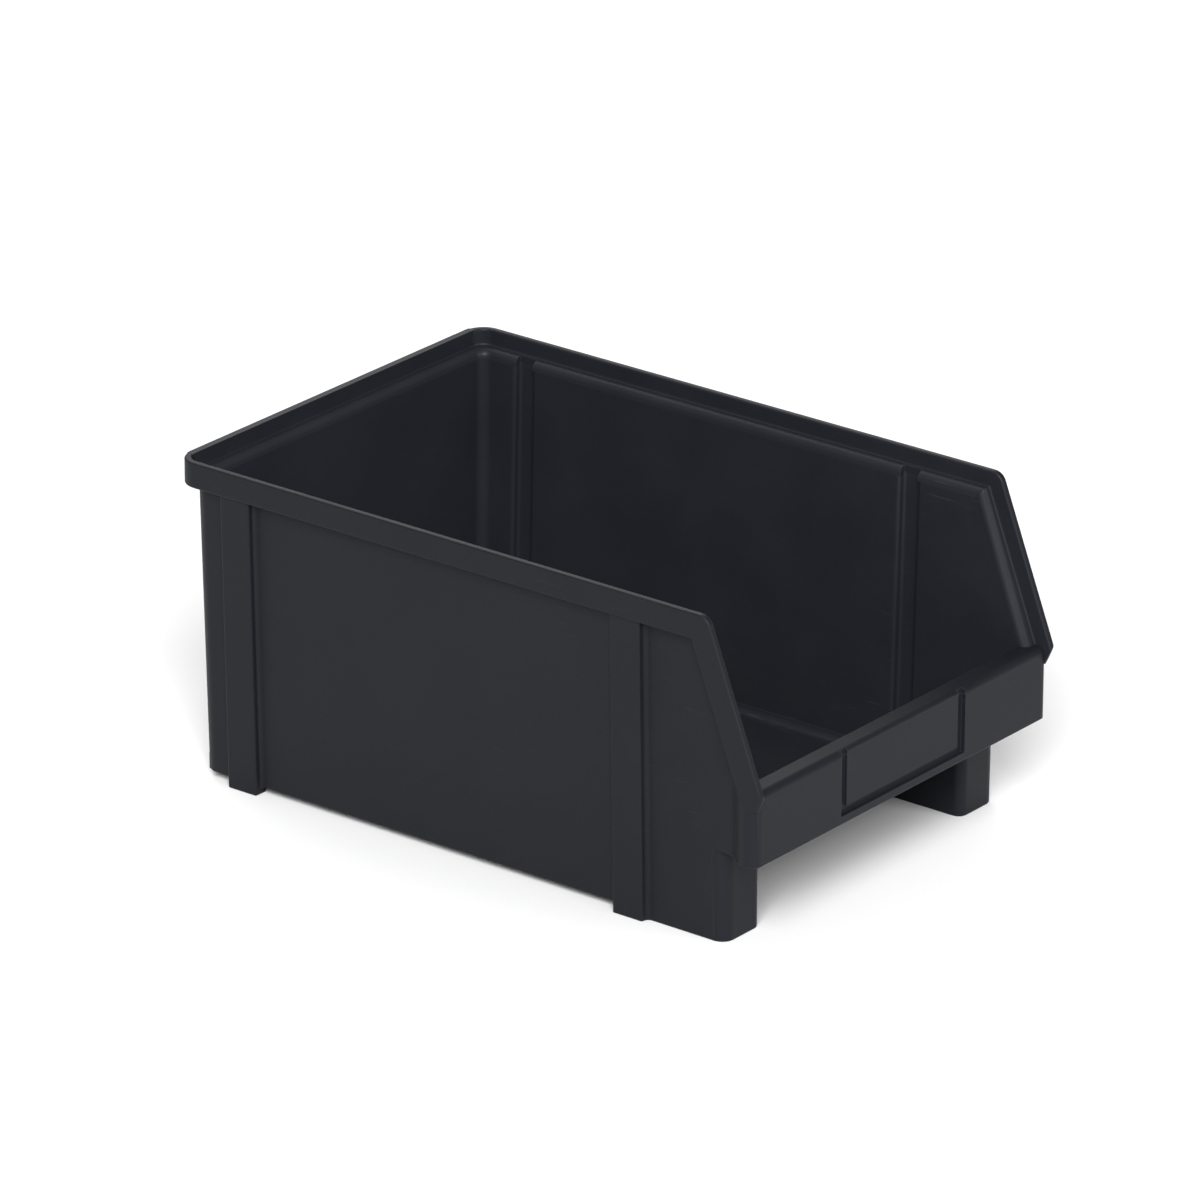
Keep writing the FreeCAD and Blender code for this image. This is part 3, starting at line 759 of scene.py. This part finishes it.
@dataclass
class RimBand(Moulding):
    """Stepped stacking rim: upstand, ledge and skirt in one band, level at the back and sides, then down
    the sloping front edges to a nose each side."""

    corner_steps: int = 12
    bend_steps: int = 8
    ledge_steps: int = 6
    edge_radius: float = 0.4
    nose_edge_radius: float = 1.1
    nose_tip_rounding: float = 0.6
    inner_bend_radius: float = 0.3
    wall_reach: float = 0.3
    lip_reach: float = 0.5

    def section(self) -> Array:
        """Closed section as (inset from the rim's outside, drop below the rim top) points."""
        size = self.sizes
        inside = size.rim_overhang + size.wall
        step = [(size.rim_wall, size.ledge_drop), (inside, size.ledge_drop), (inside, size.skirt_drop)]
        upstand = [(0, size.skirt_drop), (0, self.bevel_drop), (0, 0), (size.rim_wall, 0),
                   (size.rim_wall, self.bevel_drop)]
        return np.concatenate([upstand, rounded_outline(step, [0, size.ledge_radius, 0], self.ledge_steps)])

    @property
    def bevel_drop(self) -> float:
        """Drop, below the sloping edge's line, of the foot where the nose's underside meets the lip face."""
        size = self.sizes
        return float((size.slope_distance(size.nose_under, 0.0) - size.lip_face) * math.cos(size.slope_angle))

    def rings(self) -> Array:
        """The section carried along the rim.

        Seen from above the path is a rounded U inset by n; seen from the side it is level at drop d, turns
        on an arc about the corner of the two lines inset by d and the arc's radius, and runs down the
        slope to the nose's underside. The inner face follows the drafted wall.
        """
        size = self.sizes
        inset, drop = self.section().T
        in_wall = inset > size.rim_wall
        half, level_z = size.rim_half - inset, size.height - drop
        turn = np.linspace(0, math.pi / 2, self.corner_steps + 1)[:, None]
        radius = np.where(in_wall, np.interp(inset, [size.rim_wall, size.rim_overhang + size.wall],
                                             [size.rim_corner - size.rim_wall, size.wall_corner - size.wall]),
                          size.rim_corner - inset)
        corner = np.stack([half - radius + radius * np.sin(turn), inset + radius * (1 - np.cos(turn)),
                           np.broadcast_to(level_z, (len(turn), len(drop)))], axis=2)
        middle = corner[:1] * np.array([0.0, 1.0, 1.0])

        places, states = twice(size.pilaster_breaks(size.groove_half))
        groove_inset = size.rim_overhang - (size.pilaster_depth - size.wall)
        in_groove = size.near_pilaster(states, size.groove_half)[:, None]
        held = np.where(in_groove, np.minimum(inset, groove_inset), inset)
        side = np.stack([size.rim_half - held, np.broadcast_to(places[:, None], held.shape),
                         np.broadcast_to(level_z, held.shape)], axis=2)

        bend = np.maximum(size.slope_top_radius - drop, self.inner_bend_radius)
        centre_z = size.height - drop - bend
        centre_s = size.slope_distance(centre_z, drop + bend)
        swing = np.linspace(0, math.pi / 2 - size.slope_angle, self.bend_steps + 1)[:, None]

        tip_s = 2 * size.rear_y + size.nose_overshoot
        tip_z = size.mouth_z - size.nose_overshoot / math.tan(size.slope_angle)
        share = np.clip(drop / self.bevel_drop, 0, 1)
        end_z = tip_z + (size.nose_under - tip_z) * share
        on_bevel = drop <= self.bevel_drop
        end_s = np.where(on_bevel, tip_s + (size.lip_face - tip_s) * share, size.slope_distance(end_z, drop))
        front_s = np.concatenate([centre_s + bend * np.sin(swing), end_s[None]])
        front_z = np.concatenate([centre_z + bend * np.cos(swing), end_z[None]])
        lean = size.half_width(front_z) - size.half_width(size.skirt_z)
        front = np.stack([half + np.where(in_wall, lean, 0.0), front_s, front_z], axis=2)
        return both_sides(np.concatenate([middle, corner, side, front]))

    def rounding(self, x: Array, s: Array, z: Array) -> Array:
        """General radius, larger on the nose, none where the band runs into wall, groove or lip."""
        size = self.sizes
        outer = x > size.rim_half - NEAR
        nose = s > size.lip_face + NEAR
        mid_wall = np.abs(x - size.rim_half + size.rim_wall / 2) < NEAR
        groove = size.near_pilaster(s, size.groove_half) & (x < size.upstand_inside - NEAR)
        below_tip = z < size.mouth_z + self.lip_reach
        in_lip = (s > size.rim_length) & (x < size.upstand_inside + NEAR) & below_tip
        radius = np.full(len(x), self.edge_radius)
        radius[nose & outer] = self.nose_edge_radius
        radius[nose & mid_wall & (z > size.mouth_z - size.nose_depth / 2)] = self.nose_tip_rounding
        radius[groove | size.at_pilaster(s, size.groove_half)] = 0.0
        radius[x < size.half_width(z) - size.wall + self.wall_reach] = 0.0
        radius[in_lip | (z < size.nose_under + NEAR)] = 0.0
        return radius

    def build(self, palette: Palette) -> Piece:
        """Makes and dresses the rim."""
        inset, _ = self.section().T
        core = inset >= self.sizes.rim_wall
        core[-1] = False
        piece = self.skin("stacking_rim", self.rings(), palette, core)
        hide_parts("rear_rim", *(f"{side}_{part}" for side in ("left", "right")
                                         for part in ("rim", "slope_rim")))
        return piece


class Stretch(IntEnum):
    """Stretches of the side-view outline of floor, ramp and lip, in the order in which they follow."""

    UNDER = 0
    CURTAIN = 1
    BAR = 2
    SLOT = 3
    FACE = 4
    BROW_END = 5
    TOP = 6


@dataclass
class FloorAndLip(Moulding):
    """Floor, ramp and front lip in one sheet: it runs flat, rises at the crease, turns level at the lip's
    top and hangs down as the lip face, which carries the card slot."""

    crease_radius: float = 4.0
    crease_steps: int = 10
    brow_steps: int = 8
    brow_level: float = 1.0
    fillet: float = 2.0
    fillet_steps: int = 8
    fillet_run_out: float = 1.8
    buried: float = 0.5
    card_half: float = 19.8
    card_slot: float = 1.7
    card_side_slot: float = 2.2
    card_slot_depth: float = 1.1
    card_recess: float = 0.35
    card_bar: float = 1.9
    edge_radius: float = 0.35
    slot_edge_radius: float = 0.15

    @property
    def fillet_places(self) -> Array:
        """Distances of the fillet's points from the wall: even steps of its angle."""
        return self.fillet * (1 - np.cos(np.linspace(0, math.pi / 2, self.fillet_steps)))

    @property
    def slot_end(self) -> float:
        """Half width over the card slot, outside its side slots."""
        return self.card_half + self.card_side_slot

    def rings(self) -> Array:
        """The side-view outline carried across the bin.

        Across the bin each ring moves from one wall to the other; near a wall the upper surface climbs by
        the height of a quarter circle, r - sqrt(r^2 - (r - t)^2) at distance t from the wall, and the lip
        face falls back along the arc of the lip's corner. In the card area the face steps back.
        """
        size = self.sizes
        s, z, stretch = self._outline()
        lip = (stretch > Stretch.UNDER) & (stretch < Stretch.TOP)
        edge_x = np.where(lip, size.upstand_inside, size.half_width(z, -size.wall))
        from_wall = np.concatenate([[-self.buried], self.fillet_places, [self.fillet + self.fillet_run_out]])
        near_wall = edge_x - np.where(lip, np.maximum(from_wall[:, None], 0), from_wall[:, None])
        card_places, card_states = twice(np.array([self.card_half, self.slot_end]))
        inboard = np.append(card_places[::-1], 0.0)[:, None] + np.zeros(len(s))
        inboard_state = np.append(card_states[::-1], 0.0)[:, None] + np.zeros(len(s))
        half_x = np.concatenate([near_wall, inboard])
        state_x = np.concatenate([near_wall, inboard_state])
        gap = np.append(from_wall, np.full(len(inboard), np.inf))[:, None]
        new_s, new_z = self._shape(half_x, state_x, s, z, stretch, gap)
        return both_sides(np.stack([half_x, new_s, new_z], axis=2)[::-1])

    def _outline(self) -> tuple[Array, Array, Array]:
        """Closed side-view outline: back distances, heights and the stretch of each point."""
        size = self.sizes
        rear, roof = size.floor_rear, size.mouth_z - size.lip_wall
        heel = size.ramp_start + (size.floor_lift - size.ramp_under(size.ramp_start)) / size.ramp_rise
        knee = size.ramp_start + (roof + size.floor_on_ramp - size.floor_top) / size.ramp_rise
        slot_z = size.lip_bottom + self.card_bar
        slot_top = slot_z + self.card_slot
        brow = rounded_outline(
            [(size.lip_face, slot_top), (size.lip_face, size.mouth_z),
             (size.lip_back + self.brow_level, size.mouth_z)], [0, size.lip_top_radius, 0], self.brow_steps)
        climb = rounded_outline(
            [(size.lip_back, size.mouth_z), (size.ramp_start, size.floor_top), (rear, size.floor_top)],
            [0, self.crease_radius, 0], self.crease_steps)
        rear_fillet = [(rear + away, size.floor_top) for away in (*self.fillet_places[::-1], -self.buried)]
        stretches = {
            Stretch.UNDER: [(rear - self.buried, size.floor_lift), (heel, size.floor_lift), (knee, roof)],
            Stretch.CURTAIN: [(size.lip_hidden, roof), (size.lip_hidden, size.lip_bottom)],
            Stretch.BAR: [(size.lip_face, size.lip_bottom), (size.lip_face, slot_z)],
            Stretch.SLOT: [(size.lip_face, slot_z), (size.lip_face, slot_top)],
            Stretch.FACE: brow[:-1],
            Stretch.BROW_END: brow[-1:],
            Stretch.TOP: np.concatenate([climb[:-1], rear_fillet]),
        }
        s, z = np.concatenate(list(stretches.values())).T
        return s, z, np.repeat(list(stretches), [len(points) for points in stretches.values()])

    def _shape(self, x: Array, state: Array, s: Array, z: Array, stretch: Array,
               gap: Array) -> tuple[Array, Array]:
        """Fillets, lip corner and card slot applied to a grid of outline points."""
        size = self.sizes
        climbing = (stretch == Stretch.TOP) & (s < size.lip_back - HAIR)
        reach = np.minimum(np.clip(gap, 0, self.fillet), np.clip(s - size.floor_rear, 0, self.fillet))
        rise = self.fillet - np.sqrt(self.fillet ** 2 - (self.fillet - reach) ** 2)
        front = (stretch >= Stretch.BAR) & (stretch <= Stretch.FACE)
        past = np.clip(x - (size.rim_half - size.lip_corner), 0, size.lip_corner)
        fall = size.lip_corner - np.sqrt(size.lip_corner ** 2 - past ** 2)
        new_z = z + np.where(climbing, rise, 0.0)
        new_s = s - np.where(front, fall, 0.0)

        in_field = state < self.card_half
        in_slot = (state > self.card_half) & (state < self.slot_end)
        depth = np.zeros_like(new_s)
        depth[(stretch == Stretch.SLOT) & (in_field | in_slot)] = self.card_slot_depth
        depth[(stretch == Stretch.FACE) & in_slot] = self.card_slot_depth
        depth[(stretch == Stretch.FACE) & in_field] = self.card_recess
        return np.where(depth > 0, np.minimum(new_s, size.lip_face - depth), new_s), new_z

    def rounding(self, x: Array, s: Array, z: Array) -> Array:
        """Small radii on the lip and tight ones in the card slot; none where the sheet meets the walls."""
        size = self.sizes
        on_lip = s > size.lip_hidden - NEAR
        in_card = on_lip & (x < self.slot_end + NEAR) & (z > size.lip_bottom + self.card_bar - NEAR)
        radius = np.where(on_lip, self.edge_radius, 0.0)
        radius[in_card] = self.slot_edge_radius
        radius[in_card & (z > size.mouth_z - size.lip_top_radius - NEAR)] = 0.0
        radius[x > size.upstand_inside - NEAR] = 0.0
        return radius

    def build(self, palette: Palette) -> Piece:
        """Makes and dresses the sheet."""
        _, _, stretch = self._outline()
        piece = self.skin("floor_ramp_and_lip", self.rings(), palette, stretch == Stretch.TOP)
        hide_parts("floor_pan", "front_ramp", "front_lip", "label_holder")
        return piece


@dataclass
class LipEnd(Moulding):
    """End of the front lip: the face turns its corner and runs back into the flaring side wall."""

    side: Side
    arc_steps: int = 8
    flare_steps: int = 10
    edge_radius: float = 0.35
    edge_run_out: float = 2.0
    reveal: float = 0.04
    seat: float = 0.9
    seat_depth: float = 0.2
    tongue: float = 0.3
    tuck: float = 0.7

    def rings(self) -> Array:
        """A strip carried in plan from the lip face round an arc and back along the flare.

        The arc turns about the lip's corner centre from where the upstand's inside meets the face; a tongue
        ahead of it is tucked into the lip. The top follows the underside of the nose and of the sloping rim
        band, and ends inside them.
        """
        size = self.sizes
        centre_x, centre_s = size.rim_half - self.reveal - size.lip_corner, size.lip_face - size.lip_corner
        start = math.asin((size.upstand_inside - centre_x) / size.lip_corner)
        turn = np.linspace(start, math.pi / 2, self.arc_steps + 1)
        thin = size.lip_corner - size.lip_wall
        arc_s, arc_x = centre_s + size.lip_corner * np.cos(turn), centre_x + size.lip_corner * np.sin(turn)
        hidden_s, hidden_x = centre_s + thin * np.cos(turn), centre_x + thin * np.sin(turn)
        flare_s = np.linspace(centre_s, centre_s - size.lip_flare, self.flare_steps + 1)[1:]
        s = np.concatenate([arc_s[:1] - self.tongue, arc_s, flare_s])
        inner_s = np.concatenate([hidden_s[:1], hidden_s, flare_s])
        arc = np.append(arc_x[0] - self.tongue, arc_x)
        hidden = np.append(hidden_x[0] - self.tongue, hidden_x)
        top = np.maximum(np.where(s > centre_s, size.nose_under, size.band_height(s)), size.nose_under)
        sunk = np.linspace(0, self.seat_depth, len(flare_s))
        outer, inner = [], []
        for z in (np.full(len(s), size.lip_bottom), top + self.tuck):
            flare_z = z[len(arc):]
            swung = size.flared_half(flare_s, flare_z) - self.reveal - sunk
            seated = size.half_width(flare_z) - self.seat
            outer.append(np.stack([np.concatenate([arc, swung]), s, z], axis=1))
            inner.append(np.stack([np.concatenate([hidden, seated]), inner_s, z], axis=1))
        return on_side(np.stack([outer[0], outer[1], inner[1], inner[0]], axis=1), self.side)

    def rounding(self, x: Array, s: Array, z: Array) -> Array:
        """Only the free lower edge outside is rounded, round the arc and a little way up the flare."""
        size = self.sizes
        centre_s = size.lip_face - size.lip_corner
        across = x - size.rim_half + size.lip_corner + self.reveal
        from_centre = np.hypot(across, np.maximum(s - centre_s, 0.0))
        outside = (from_centre > size.lip_corner - size.lip_wall / 2) & (s > centre_s - self.edge_run_out)
        return np.where(outside & (z < size.lip_bottom + NEAR), self.edge_radius, 0.0)

    def build(self, palette: Palette) -> Piece:
        """Makes and dresses one end."""
        return self.skin(f"{self.side.name.lower()}_lip_end", self.rings(), palette)


@dataclass
class FrontLeg(Moulding):
    """Hollow front leg under the ramp: a strip bent round three sides, with one web across it."""

    side: Side
    arc_steps: int = 10
    edge_radius: float = 0.35
    rear_corner: float = 1.0
    rear_corner_inside: float = 0.2
    tongue: float = 2.0
    tongue_dip: float = 0.4
    embed: float = 0.6

    def strip(self) -> Array:
        """Rings of the bent strip: its plan path inset by the leg's wall, standing from floor to ramp."""
        size = self.sizes
        thick = size.leg_wall
        reach, wide = size.half_width(0.0, -size.wall), size.half_width(0.0)
        tongue_end = size.leg_turn - self.tongue
        path = [(reach, size.leg_back), (size.leg_inner, size.leg_back), (size.leg_inner, size.leg_front),
                (wide, size.leg_front), (wide, size.leg_turn), (wide - self.tongue_dip, tongue_end)]
        inset = [(reach, size.leg_back + thick), (size.leg_inner + thick, size.leg_back + thick),
                 (size.leg_inner + thick, size.leg_front - thick), (wide - thick, size.leg_front - thick),
                 (wide - thick, size.leg_turn), (wide - thick, tongue_end)]
        radii = [0, self.rear_corner, size.leg_corner, size.leg_round, 0, 0]
        inset_radii = [0, self.rear_corner_inside, size.leg_corner - thick, size.leg_round - thick, 0, 0]
        return self._standing(rounded_outline(path, radii, self.arc_steps),
                              rounded_outline(inset, inset_radii, self.arc_steps))

    def web(self) -> Array:
        """Rings of the cross web, half way along the leg."""
        size = self.sizes
        middle, half = (size.leg_back + size.leg_front) / 2, size.leg_wall / 2
        start, reach = size.leg_inner + half, size.half_width(0.0, -size.wall)
        front, back = (np.array([(start, s), (reach, s)]) for s in (middle + half, middle - half))
        return self._standing(front, back)

    def _standing(self, outer: Array, inner: Array) -> Array:
        """Closed rings between two plan paths, from the ground up into the ramp."""
        (outer_foot, outer_head), (inner_foot, inner_head) = self._upright(outer), self._upright(inner)
        return on_side(np.stack([outer_foot, outer_head, inner_head, inner_foot], axis=1), self.side)

    def _upright(self, path: Array) -> tuple[Array, Array]:
        """Foot and head points of a plan path.

        The head follows the ramp's underside, and the wall's lower edge round the outer corner, where it
        leans out with the drafted wall. The end inside the wall is lifted off the ground.
        """
        size = self.sizes
        x, s = path.T
        wide = size.half_width(0.0)
        at_wall = x > wide - size.wall - HAIR
        turning = s > size.leg_turn - self.tongue - HAIR
        head_z = np.where(at_wall & turning, size.lip_bottom, size.ramp_under(s) + self.embed)
        near = np.clip((x - wide) / size.leg_round + 1, 0, 1)
        head_x = x + (size.half_width(head_z) - wide) * np.where(turning, near, at_wall)
        in_wall = turning & (s < size.leg_turn - HAIR)
        foot_z = np.where(in_wall, self.tongue_dip, 0.0)
        return np.stack([x, s, foot_z], axis=1), np.stack([head_x, s, head_z], axis=1)

    def rounding(self, x: Array, s: Array, z: Array) -> Array:
        """Free edges are rounded; the ends that meet the wall and the heads aren't."""
        size = self.sizes
        before_turn = s < size.leg_turn + NEAR
        at_wall = x > size.half_width(z, -size.wall) - NEAR
        at_tongue = before_turn & (s > size.leg_turn - self.tongue - NEAR)
        radius = np.full(len(x), self.edge_radius)
        radius[at_wall & (before_turn | (z > size.lip_bottom / 2))] = 0.0
        radius[at_tongue & (x > size.half_width(z) - size.leg_wall - NEAR)] = 0.0
        radius[z > np.minimum(size.ramp_under(s) + self.embed / 2, size.lip_bottom + NEAR)] = 0.0
        return radius

    def build(self, palette: Palette) -> list[Piece]:
        """Makes and dresses the leg's strip and web."""
        side = self.side.name.lower()
        strip = self.skin(f"{side}_leg_box", self.strip(), palette)
        web = self.skin(f"{side}_leg_web", self.web(), palette)
        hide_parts(f"{side}_front_leg")
        return [strip, web]


# ---------------------------------------------------------------- studio
@dataclass
class Studio:
    """Pale floor, soft lights and the camera."""

    floor_reach: float = 4000.0
    floor_cells: int = 8
    azimuth: float = -52.04
    elevation: float = 22.38
    roll: float = 0.24
    distance: float = 1990.2
    lens: float = 276.5
    sensor: float = 36.0
    farthest_seen: float = 20000.0
    target: tuple[float, float, float] = (-0.16, 3.84, 44.40)
    world_strength: float = 0.25

    def floor(self) -> None:
        """Flat paper under the bin, as a grid of square cells."""
        row = self.floor_cells + 1
        share = np.linspace(-1, 1, row) * self.floor_reach * MM
        x, y = np.meshgrid(share, share, indexing="ij")
        places = np.stack([x.ravel(), y.ravel(), np.zeros(x.size)], axis=1)
        first = np.arange(row * row).reshape(row, row)[:-1, :-1].ravel()
        quads = np.stack([first, first + row, first + row + 1, first + 1], axis=1)
        mesh = bpy.data.meshes.new("studio_floor")
        mesh.from_pydata(places, [], quads.tolist())
        mesh.materials.append(StudioPaper().build())
        floor = add_object("studio_floor", mesh)

    def world(self) -> None:
        """Even white surroundings."""
        world = bpy.data.worlds.new("studio")
        tree = empty_tree(world)
        sky = add_node(tree, "ShaderNodeBackground", None, {
            "Color": (1.0, 1.0, 1.0, 1.0), "Strength": self.world_strength})
        add_node(tree, "ShaderNodeOutputWorld", None, {"Surface": sky.outputs["Background"]})
        bpy.context.scene.world = world
        bpy.context.scene.view_settings.view_transform = "Standard"

    def softbox(self, name: str, place: tuple[float, float, float], size: float, watts: float) -> None:
        """Square area light aimed at the bin's middle.

        Args:
            name: name of the light.
            place: position in millimetres.
            size: side of the square in millimetres.
            watts: power.
        """
        lamp = bpy.data.lights.new(name, "AREA")
        lamp.shape = "SQUARE"
        lamp.size = size * MM
        lamp.energy = watts
        holder = add_object(name, lamp)
        holder.location = Vector(place) * MM
        aim = Vector(self.target) * MM - Vector(place) * MM
        holder.rotation_euler = aim.to_track_quat("-Z", "Y").to_euler()

    def camera(self) -> None:
        """Long-lens camera looking down at the bin's open front and left side."""
        turn, rise, roll = (math.radians(v) for v in (self.azimuth, self.elevation, self.roll))
        back = Vector((math.sin(turn) * math.cos(rise), -math.cos(turn) * math.cos(rise), math.sin(rise)))
        right = Vector((math.cos(turn), math.sin(turn), 0.0))
        rolled = right * math.cos(roll) + back.cross(right) * math.sin(roll)
        axes = Matrix((rolled, back.cross(rolled), back)).transposed().to_4x4()
        data = bpy.data.cameras.new("camera")
        data.lens = self.lens
        data.sensor_width = self.sensor
        data.clip_end = self.farthest_seen * MM
        camera = add_object("camera", data)
        camera.matrix_world = Matrix.Translation((Vector(self.target) + back * self.distance) * MM) @ axes
        bpy.context.scene.camera = camera

    def build(self) -> None:
        """Sets up the whole studio."""
        self.floor()
        self.world()
        self.softbox("key_softbox", (-2583.0, -1808.0, 2463.0), 2100.0, 262.0)
        self.softbox("front_softbox", (300.0, -3100.0, 1500.0), 1800.0, 42.0)
        self.softbox("top_softbox", (700.0, 1500.0, 2000.0), 1600.0, 22.0)
        self.softbox("back_panel", (2900.0, 2300.0, 1500.0), 2500.0, 30.0)
        self.camera()


def main() -> None:
    logging.basicConfig(level=logging.INFO, format="%(name)s: %(message)s")
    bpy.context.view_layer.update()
    sizes = BinSizes.from_frame()
    palette = Palette()
    pieces = [region(sizes).build(palette) for region in (TubWalls, RimBand, FloorAndLip)]
    for side in Side:
        pieces.append(LipEnd(sizes, side).build(palette))
        pieces += FrontLeg(sizes, side).build(palette)
    for piece in pieces:
        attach(piece, ROOT_BODY)
        LOG.info("%s: %d points, %d faces", piece.name, len(piece.data.vertices), len(piece.data.polygons))
    Studio().build()
    bpy.context.view_layer.update()


if __name__ == "__main__":
    main()
